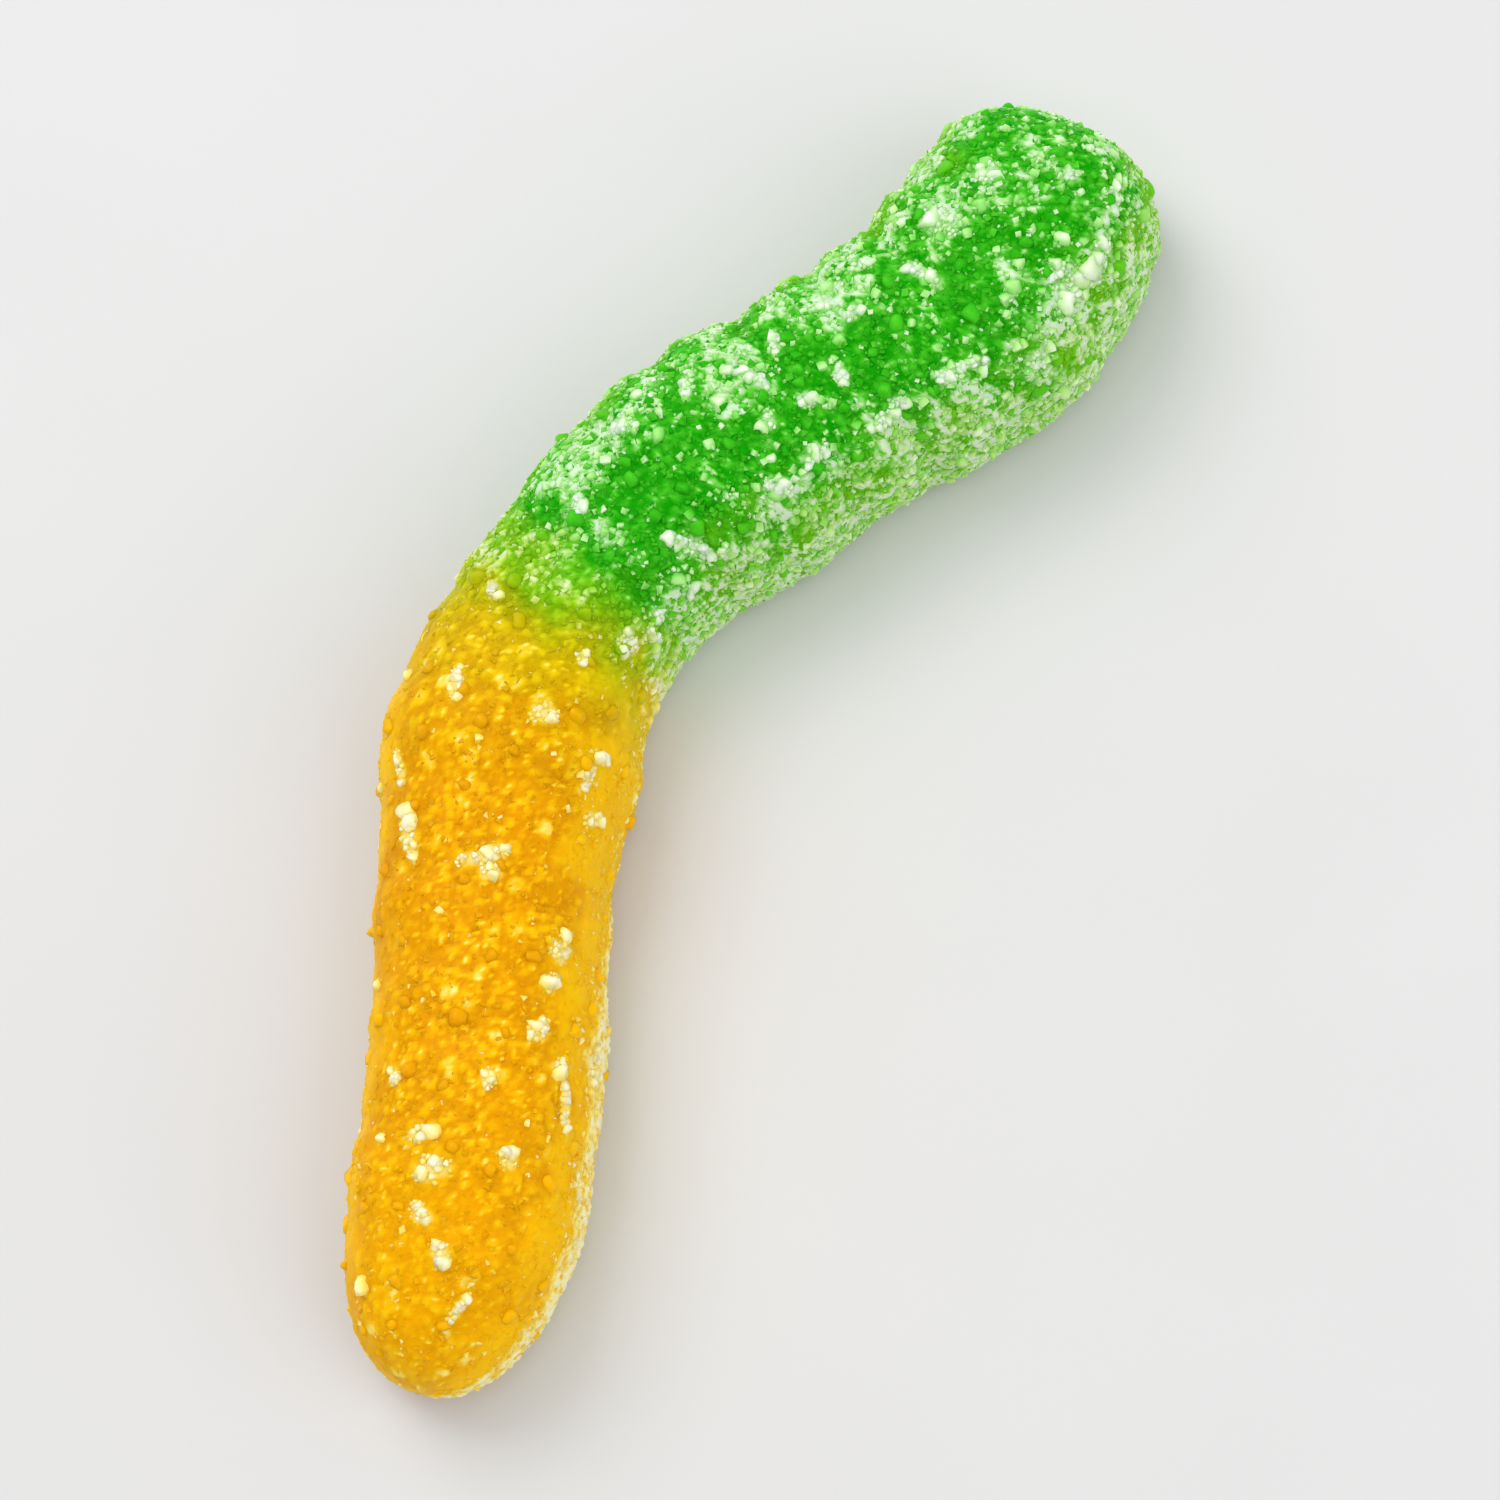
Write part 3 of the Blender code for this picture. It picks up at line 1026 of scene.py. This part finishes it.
@dataclass(frozen=True)
class SugarLayer:
    """Crystals of one kind, scattered over the whole skin wherever the sugar map has cover."""

    name: str
    skin_map: SkinMap
    tries: int
    spacing: float
    smallest: float
    largest: float
    least_cover: float
    cuts: int
    seed: int
    sharpness: float = 5.0
    sunk: float = 0.1
    sunk_yellow: float = 0.22
    sunk_soaked: float = 0.12
    tip_gap: float = 0.1
    grid: tuple[int, int] = (1400, 700)
    wet_loss: float = 0.7
    calm_loss: float = 0.2
    back_loss: float = 0.85
    dry_by_cover: float = 0.8
    whiteness: tuple[float, float] = (0.45, 0.95)

    def places(self, draw: np.random.Generator) -> tuple[SkinSample, np.ndarray]:
        """Draws places by area and keeps one in each cube of space, fewer where the coat is thin and below.

        A place is kept with the chance (c + (1 - c) * cover) * (1 - back_loss * back), with c the least
        cover, which is less on the wet yellow half and on its calm flanks.

        Args:
            draw: The source of randomness.

        Returns:
            The places, and the cover at each.
        """
        along = np.linspace(self.tip_gap, self.skin_map.form.length - self.tip_gap, self.grid[0])
        sample = SkinSample.over(self.skin_map.form, along, self.skin_map.form.even_angles(self.grid[1]))
        weight = sample.area.ravel()
        index = draw.choice(weight.size, size=self.tries, replace=False, p=weight / weight.sum())
        places = sample.take(index)
        cubes = np.floor(places.points / self.spacing).astype(np.int64)
        _, first = np.unique(cubes, axis=0, return_index=True)
        places = places.take(first)
        cover = self.skin_map.cover(places)
        wet = 1.0 - self.skin_map.greenness(places.along)
        least = self.least_cover * (1.0 - self.wet_loss * wet - self.calm_loss * self.skin_map.calm(places))
        back = smooth_step(-places.normals[:, 2], 0.6, 0.9)
        chance = (least + (1.0 - least) * cover) * (1.0 - self.back_loss * back)
        keep = draw.uniform(size=len(first)) < chance
        return places.take(np.flatnonzero(keep)), cover[keep]

    def build(self) -> bpy.types.Object:
        """Makes the crystals. More of them are white where the sugar lies thick.

        The others have taken up syrup: they show the gel's colour and lie deeper in it.

        Returns:
            The object.
        """
        draw = np.random.default_rng(self.seed)
        places, cover = self.places(draw)
        count = len(cover)
        sizes = self.smallest + (self.largest - self.smallest) * draw.uniform(size=count) ** 1.6
        green = self.skin_map.greenness(places.along)
        dry = draw.uniform(size=count) < 0.08 - 0.04 * green + self.dry_by_cover * cover
        white = np.where(dry, draw.uniform(*self.whiteness, count), draw.uniform(0.0, 0.1 + 0.25 * green))
        white = np.maximum(white, 0.9 * self.skin_map.near_clumps(places))
        sunk = self.sunk + self.sunk_yellow * (1.0 - green) + self.sunk_soaked * green * (white < 0.4)
        corners = uneven_blocks(draw, places, sizes, -sunk * sizes)
        template = BlockTemplate(self.cuts, self.sharpness)
        return join_crystals(self.name, template, corners, places, self.skin_map, white)


@dataclass(frozen=True)
class SugarClumps:
    """Knots of grains stuck together, at the places where they show most."""

    skin_map: SkinMap
    core: float = 0.62
    core_step: float = 0.62
    grain: float = 0.36
    grains_per_area: float = 14.0
    spread: float = 1.2
    lumpiness: float = 0.45
    soaked: float = 0.35
    yellow_white: float = 0.96
    seed: int = 71

    def knot(self, draw: np.random.Generator, clump: Clump) -> np.ndarray:
        """Lays a row of flat cores through a clump, and smaller grains in an oval round them.

        Args:
            draw: The source of randomness.
            clump: The clump.

        Returns:
            Rows with each grain's distance along the worm, angle, size, lift and whiteness, (5, n).
        """
        cores = max(1, round(clump.length / (self.core_step * clump.width)))
        grains = max(5, round(self.grains_per_area * clump.length * clump.width))
        radius = self.spread * np.sqrt(draw.uniform(0.1, 1.0, grains))
        turn = draw.uniform(0.0, 2.0 * math.pi, grains)
        row = (np.arange(cores) - 0.5 * (cores - 1)) / max(cores, 2)
        row = row + draw.uniform(-0.1, 0.1, cores)
        lengthwise = clump.length * np.concatenate([row, 0.5 * radius * np.cos(turn)])
        beside = draw.uniform(-0.25, 0.25, cores)
        across = clump.width * np.concatenate([beside, 0.5 * radius * np.sin(turn)])
        lean = math.radians(clump.lean)
        along = clump.along + lengthwise * math.cos(lean) - across * math.sin(lean)
        sideways = lengthwise * math.sin(lean) + across * math.cos(lean)
        angle = math.radians(clump.angle) - sideways / self.skin_map.form.half_width
        widest = min(1.1 * clump.width, self.core + 0.25 * clump.width)
        core_size = widest * draw.uniform(0.65, 1.15, cores)
        grain_size = self.grain * (1.2 - 0.5 * radius) * draw.uniform(0.7, 1.3, grains)
        lift = np.concatenate([-0.15 * core_size, 0.1 * (self.spread - radius) - 0.1 * grain_size])
        core_white = draw.uniform(0.9, 1.0, cores)
        white = np.concatenate([core_white, 1.0 - 0.4 * radius * draw.uniform(size=grains)])
        return np.stack([along, angle, np.concatenate([core_size, grain_size]), lift, white])

    def build(self) -> bpy.types.Object:
        """Makes a knot of grains for each clump of the map.

        Returns:
            The object.
        """
        draw = np.random.default_rng(self.seed)
        knots = [self.knot(draw, clump) for clump in self.skin_map.clumps]
        along, angle, size, lift, white = np.concatenate(knots, axis=1)
        places = self.sample(along, angle)
        corners = uneven_blocks(draw, places, size, lift)
        green = self.skin_map.greenness(places.along)
        white = white * (self.yellow_white + (1.0 - self.yellow_white) * green)
        looks = (white, self.lumpiness, self.soaked)
        return join_crystals("sugar_clumps", PEBBLE, corners, places, self.skin_map, *looks)

    def sample(self, along: np.ndarray, angle: np.ndarray) -> SkinSample:
        """Measures the skin at single places: the normal is the cross product of two short steps.

        Args:
            along: Distances along the worm, (n,).
            angle: Angles round it, (n,).

        Returns:
            The skin there.
        """
        step = 0.02
        skin = self.skin_map.form.skin
        points = skin(along, angle)
        around = skin(along, angle + step) - skin(along, angle - step)
        lengthwise = skin(along + step, angle) - skin(along - step, angle)
        normals = np.cross(around, lengthwise)
        area = np.linalg.norm(normals, axis=-1)
        return SkinSample(along, angle, points, normals / np.maximum(area, 1e-12)[..., None], area)


def linear(red: int, green: int, blue: int) -> Colour:
    """Turns a screen colour into the linear one that shaders take.

    Args:
        red: Red, from 0 to 255.
        green: Green, from 0 to 255.
        blue: Blue, from 0 to 255.

    Returns:
        The linear colour.
    """
    shares = [value / 255.0 for value in (red, green, blue)]
    found = [share / 12.92 if share <= 0.04045 else ((share + 0.055) / 1.055) ** 2.4 for share in shares]
    return (found[0], found[1], found[2])


class NodeTree:
    """Adds shader nodes to a tree and joins them."""

    def __init__(self, tree: bpy.types.NodeTree) -> None:
        """Keeps the tree that nodes are added to."""
        self.tree = tree

    def add(self, kind: str, inputs: dict[Any, Any] | None = None, **settings: Any) -> bpy.types.Node:
        """Adds one node.

        Args:
            kind: The node's type, such as ShaderNodeMath.
            inputs: Values or sockets for its inputs, by name or number.
            settings: The node's own properties.

        Returns:
            The node.
        """
        node = self.tree.nodes.new(kind)
        for name, value in settings.items():
            setattr(node, name, value)
        for key, value in (inputs or {}).items():
            if isinstance(value, bpy.types.NodeSocket):
                self.tree.links.new(value, node.inputs[key])
            else:
                node.inputs[key].default_value = value
        return node

    def math(self, operation: str, first: Any, second: Any, third: Any = 0.0, clamp: bool = False) -> Any:
        """Adds a Math node of values or sockets, and gives its output."""
        inputs = {0: first, 1: second, 2: third}
        return self.add("ShaderNodeMath", inputs, operation=operation, use_clamp=clamp).outputs[0]

    def mix(self, share: Any, first: Any, second: Any) -> Any:
        """Adds a Mix node for colours, of which the share is the second one's, and gives its output."""
        inputs = {0: share, 6: first, 7: second}
        return self.add("ShaderNodeMix", inputs, data_type="RGBA").outputs[2]

    def attribute(self, attribute: Attribute) -> Any:
        """Adds an Attribute node and gives the output of its number."""
        return self.add("ShaderNodeAttribute", attribute_name=attribute.value).outputs["Fac"]

    def noise(self, scale: float, detail: float = 2.0, roughness: float = 0.5) -> Any:
        """Adds a Noise Texture in Object coordinates.

        Args:
            scale: Its scale, for metres.
            detail: How many finer layers it has.
            roughness: How strong they are.

        Returns:
            Its value output.
        """
        place = self.add("ShaderNodeTexCoord").outputs["Object"]
        inputs = {"Vector": place, "Scale": scale, "Detail": detail, "Roughness": roughness}
        return self.add("ShaderNodeTexNoise", inputs).outputs[0]

    def ramp(self, value: Any, stops: Stops) -> Any:
        """Adds a Color Ramp.

        Args:
            value: The socket that it reads.
            stops: Each stop's place and colour.

        Returns:
            Its colour output.
        """
        node = self.add("ShaderNodeValToRGB", {0: value})
        elements = node.color_ramp.elements
        while len(elements) < len(stops):
            elements.new(1.0)
        for element, (place, colour) in zip(elements, stops):
            element.position = place
            element.color = (*colour, 1.0)
        return node.outputs[0]


@dataclass(frozen=True)
class WormColours:
    """The colours of gel and sugar along the worm, as one node group that both materials share.

    Sugar that has taken up syrup is a light tint of the gel under it, brightened by a painted glow that
    stands in for the gel's light shining up through the crystals. A thicker coat is paler, and dry grains
    are nearly white. Each set of stops gives the colour at distances along the worm.
    """

    gel: Stops = (
        (30.8, linear(0, 156, 0)),
        (33.6, linear(108, 170, 0)),
        (36.4, linear(192, 166, 0)),
        (39.4, linear(216, 154, 0)),
        (45.0, linear(219, 147, 0)),
        (58.0, linear(222, 152, 0)),
        (67.0, linear(236, 168, 0)),
    )
    # Painted glow: these lighter colours stand in for light shining through thin gel at the sides.
    thin_gel_glow: Stops = (
        (30.8, linear(106, 184, 0)),
        (35.4, linear(216, 198, 0)),
        (40.0, linear(255, 196, 0)),
        (58.0, linear(255, 192, 0)),
    )
    # Partly the syrup's colour and partly painted glow: brighter than gel and white mixed, standing in for
    # the gel's light shining up through the crystals.
    tint: Stops = (
        (30.8, linear(70, 196, 34)),
        (33.6, linear(140, 202, 20)),
        (36.4, linear(226, 198, 10)),
        (43.8, linear(246, 190, 8)),
    )
    pale: Stops = (
        (30.8, linear(176, 234, 142)),
        (33.6, linear(194, 224, 100)),
        (37.0, linear(255, 230, 118)),
    )
    dry: Stops = (
        (30.8, linear(246, 255, 236)),
        (37.0, linear(255, 253, 226)),
    )
    ramp_from: float = 30.8
    ramp_to: float = 70.0
    wave: float = 4.0
    # How far the painted glow of thin gel shifts the sugar's colours towards yellow.
    glow_lime: float = 1.1
    tinted_at: float = 0.35
    pale_at: float = 0.7

    def group(self) -> bpy.types.NodeTree:
        """Builds the group: one ramp for each set of stops, mixed in turn by edge glow and white.
        The edge glow paints light shining through thin gel as a lighter colour.

        A noise shifts the place that the ramps are read at, and a finer one shades the gel.

        Returns:
            The node group, with inputs place, edge and white and one output, the colour.
        """
        tree = bpy.data.node_groups.new("worm_colour", "ShaderNodeTree")
        for attribute in Attribute:
            tree.interface.new_socket(attribute.value, in_out="INPUT", socket_type="NodeSocketFloat")
        tree.interface.new_socket("colour", in_out="OUTPUT", socket_type="NodeSocketColor")
        nodes = NodeTree(tree)
        given = nodes.add("NodeGroupInput").outputs
        wander = -0.5 * self.wave - self.ramp_from
        wave = nodes.math("MULTIPLY_ADD", nodes.noise(420.0, 3.0), self.wave, wander)
        reach = self.ramp_to - self.ramp_from
        share = nodes.math("DIVIDE", nodes.math("ADD", given["place"], wave), reach, clamp=True)
        # The painted glow also shifts the sugar's colours further along the worm, towards yellow.
        sugar_share = nodes.math("MULTIPLY_ADD", given["edge"], self.glow_lime / reach, share)
        thick = self.ramp(nodes, share, self.gel)
        # Painted glow: the edge glow turns the gel's colour to the lighter one that stands in for light
        # shining through thin gel.
        gel = nodes.mix(given["edge"], thick, self.ramp(nodes, share, self.thin_gel_glow))
        shade = nodes.math("MULTIPLY_ADD", nodes.noise(1500.0, 4.0, 0.6), 0.4, 0.8)
        colour = nodes.add("ShaderNodeVectorMath", {0: gel, "Scale": shade}, operation="SCALE").outputs[0]
        steps = (
            (self.tint, 0.0, self.tinted_at),
            (self.pale, self.tinted_at, self.pale_at),
            (self.dry, self.pale_at, 1.0),
        )
        for stops, low, high in steps:
            amount = nodes.add("ShaderNodeMapRange", {0: given["white"], 1: low, 2: high}).outputs[0]
            colour = nodes.mix(amount, colour, self.ramp(nodes, sugar_share, stops))
        nodes.add("NodeGroupOutput", {0: colour})
        return tree

    def ramp(self, nodes: NodeTree, share: Any, stops: Stops) -> Any:
        """Adds the ramp of one set of stops, read at a share of the reach from 0 to 1."""
        reach = self.ramp_to - self.ramp_from
        scaled = tuple(((place - self.ramp_from) / reach, colour) for place, colour in stops)
        return nodes.ramp(share, scaled)


@dataclass(frozen=True)
class WormFinish:
    """A surface of the worm: its roughness, shine and the depth that light reaches in it."""

    name: str
    roughness: float
    shine: float
    glow: float
    depth: float
    bump_scale: float
    bump_height: float
    bump_strength: float = 0.5
    shine_colour: Colour = (1.0, 1.0, 0.3)
    glow_reach: Colour = (1.0, 1.0, 0.4)

    def material(self, colours: bpy.types.NodeTree) -> bpy.types.Material:
        """Builds the material.

        Args:
            colours: The node group of the worm's colours.

        Returns:
            The material.
        """
        material = bpy.data.materials.new(self.name)
        material.use_nodes = True
        nodes = NodeTree(material.node_tree)
        shader = material.node_tree.nodes["Principled BSDF"]
        group = nodes.add("ShaderNodeGroup", node_tree=colours)
        for attribute in Attribute:
            nodes.tree.links.new(nodes.attribute(attribute), group.inputs[attribute.value])
        nodes.tree.links.new(group.outputs["colour"], shader.inputs["Base Color"])
        heights = nodes.noise(self.bump_scale, 2.0, 0.6)
        inputs = {"Height": heights, "Strength": self.bump_strength, "Distance": self.bump_height}
        bump = nodes.add("ShaderNodeBump", inputs)
        nodes.tree.links.new(bump.outputs[0], shader.inputs["Normal"])
        shader.inputs["Roughness"].default_value = self.roughness
        shader.inputs["Specular IOR Level"].default_value = self.shine
        shader.inputs["Specular Tint"].default_value = (*self.shine_colour, 1.0)
        shader.inputs["Subsurface Weight"].default_value = self.glow
        shader.inputs["Subsurface Radius"].default_value = self.glow_reach
        shader.inputs["Subsurface Scale"].default_value = self.depth
        return material


GEL_FINISH = WormFinish(
    name="gel",
    roughness=0.45,
    shine=0.08,
    glow=0.5,
    depth=0.0022,
    bump_scale=5200.0,
    bump_height=0.00008,
)
SUGAR_FINISH = WormFinish(
    name="sugar",
    roughness=0.3,
    shine=0.16,
    glow=0.35,
    depth=0.0005,
    bump_scale=7000.0,
    bump_height=0.00004,
)


@dataclass(frozen=True)
class FloorFinish:
    """A plain pale floor, matt and barely mottled."""

    light: Colour = linear(212, 212, 212)
    dark: Colour = linear(208, 208, 208)
    mottle_scale: float = 60.0
    roughness: float = 0.8
    shine: float = 0.2

    def material(self) -> bpy.types.Material:
        """Builds the material.

        Returns:
            The material.
        """
        material = bpy.data.materials.new("floor")
        material.use_nodes = True
        nodes = NodeTree(material.node_tree)
        shader = material.node_tree.nodes["Principled BSDF"]
        colour = nodes.mix(nodes.noise(self.mottle_scale), (*self.light, 1.0), (*self.dark, 1.0))
        nodes.tree.links.new(colour, shader.inputs["Base Color"])
        shader.inputs["Roughness"].default_value = self.roughness
        shader.inputs["Specular IOR Level"].default_value = self.shine
        return material


@dataclass(frozen=True)
class SoftLight:
    """One square area light: where it hangs, how wide it is and how strong."""

    name: str
    place: tuple[float, float, float]
    width: float
    watts: float

    def build(self) -> None:
        """Hangs the light so that it shines at the origin."""
        data = bpy.data.lights.new(self.name, "AREA")
        data.energy = self.watts
        data.size = self.width * MM
        obj = bpy.data.objects.new(self.name, data)
        away = np.array(self.place) / np.linalg.norm(self.place)
        obj.matrix_world = placed(away, np.array(self.place))
        bpy.context.scene.collection.objects.link(obj)


def placed(back: np.ndarray, place: np.ndarray) -> Matrix:
    """Builds the matrix of a camera or a light that looks along -back, with +Y upright in its view.

    Args:
        back: The unit direction from what it looks at to itself.
        place: Where it is, in millimetres.

    Returns:
        Its world matrix.
    """
    upright = np.array([0.0, 1.0, 0.0])
    up = upright - back * float(back @ upright)
    up = up / np.linalg.norm(up)
    right = np.cross(up, back)
    matrix = Matrix.Identity(4)
    for column, axis in enumerate((right, up, back, place * MM)):
        for row in range(3):
            matrix[row][column] = float(axis[row])
    return matrix


@dataclass(frozen=True)
class Studio:
    """The floor, the lights and the camera."""

    azimuth: float = 25.0
    elevation: float = 72.0
    distance: float = 189.0
    lens: float = 101.0
    aim: tuple[float, float, float] = (-0.36, -0.96, 3.8)
    floor_width: float = 1200.0
    floor_cells: int = 24
    floor_swell: float = 0.4
    lights: tuple[SoftLight, ...] = (
        SoftLight("key", (-160.0, 190.0, 300.0), 260.0, 0.8),
        SoftLight("fill", (240.0, -120.0, 220.0), 300.0, 0.44),
        SoftLight("top", (0.0, 0.0, 420.0), 420.0, 0.3),
    )
    sky: float = 0.6

    def build(self) -> None:
        """Sets up everything round the worm."""
        self.build_floor()
        for light in self.lights:
            light.build()
        world = bpy.data.worlds.new("sky")
        world.use_nodes = True
        world.node_tree.nodes["Background"].inputs["Color"].default_value = (1.0, 1.0, 1.0, 1.0)
        world.node_tree.nodes["Background"].inputs["Strength"].default_value = self.sky
        bpy.context.scene.world = world
        self.build_camera()
        bpy.context.scene.view_settings.view_transform = "Standard"

    def build_floor(self) -> None:
        """Lays the floor as a grid with a slight, wide swell well away from the worm."""
        row = self.floor_cells + 1
        steps = np.linspace(-0.5, 0.5, row) * self.floor_width
        x, y = np.meshgrid(steps, steps, indexing="ij")
        apart = np.hypot(x, y) / self.floor_width
        z = self.floor_swell * smooth_step(apart, 0.2, 0.5) * np.sin(x / 90.0) * np.cos(y / 70.0)
        vertices = np.stack([x, y, z], axis=-1).reshape(-1, 3)
        cell = np.arange(self.floor_cells)
        corner = (cell[:, None] * row + cell[None, :]).ravel()
        faces = np.stack([corner, corner + row, corner + row + 1, corner + 1], axis=-1)
        floor = new_object("floor", vertices, faces.tolist(), True)
        floor.data.materials.append(FloorFinish().material())

    def build_camera(self) -> None:
        """Looks down on the worm from its lower right, with the frame's +Y upright in the picture."""
        azimuth = math.radians(self.azimuth)
        elevation = math.radians(self.elevation)
        level = math.cos(elevation)
        back = np.array([math.sin(azimuth) * level, -math.cos(azimuth) * level, math.sin(elevation)])
        data = bpy.data.cameras.new("camera")
        data.lens = self.lens
        data.sensor_width = 36.0
        data.clip_start = 0.01
        camera = bpy.data.objects.new("camera", data)
        camera.matrix_world = placed(back, np.array(self.aim) + self.distance * back)
        bpy.context.scene.collection.objects.link(camera)
        bpy.context.scene.camera = camera


def dress(obj: bpy.types.Object, material: bpy.types.Material) -> None:
    """Gives a piece its material, fixes it to the worm's body and reports it.

    Args:
        obj: The piece.
        material: Its material.
    """
    obj.data.materials.append(material)
    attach(obj, RIDES_ON)
    obj.data.calc_loop_triangles()
    LOG.info("%s: %d triangles", obj.name, len(obj.data.loop_triangles))


def sugar_layers(skin_map: SkinMap) -> tuple[SugarLayer, ...]:
    """Gives the three sizes of crystals, the largest first.

    Args:
        skin_map: Where the sugar is thick.

    Returns:
        The layers.
    """
    middle = SugarLayer(
        name="sugar_middle",
        skin_map=skin_map,
        tries=40_000,
        spacing=0.5,
        smallest=0.3,
        largest=0.6,
        least_cover=0.22,
        cuts=2,
        seed=41,
    )
    small = replace(
        middle,
        name="sugar_small",
        tries=80_000,
        spacing=0.34,
        smallest=0.2,
        largest=0.38,
        least_cover=0.45,
        cuts=1,
        seed=61,
    )
    fine = replace(
        small,
        name="sugar_fine",
        tries=120_000,
        spacing=0.26,
        smallest=0.12,
        largest=0.24,
        least_cover=0.55,
        seed=51,
    )
    return middle, small, fine


def main() -> None:
    """Loads the frame, builds the worm and the studio, and logs each piece's triangles."""
    logging.basicConfig(level=logging.INFO, format="%(name)s %(message)s")
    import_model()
    skin_map = SkinMap(WormForm())
    colours = WormColours().group()
    gel = GEL_FINISH.material(colours)
    sugar = SUGAR_FINISH.material(colours)
    Studio().build()
    body = GummyBody(skin_map).build()
    dress(body, gel)
    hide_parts("worm")
    for builder in (CoarseGrains(skin_map), *sugar_layers(skin_map), SugarClumps(skin_map)):
        dress(builder.build(), sugar)


if __name__ == "__main__":
    main()
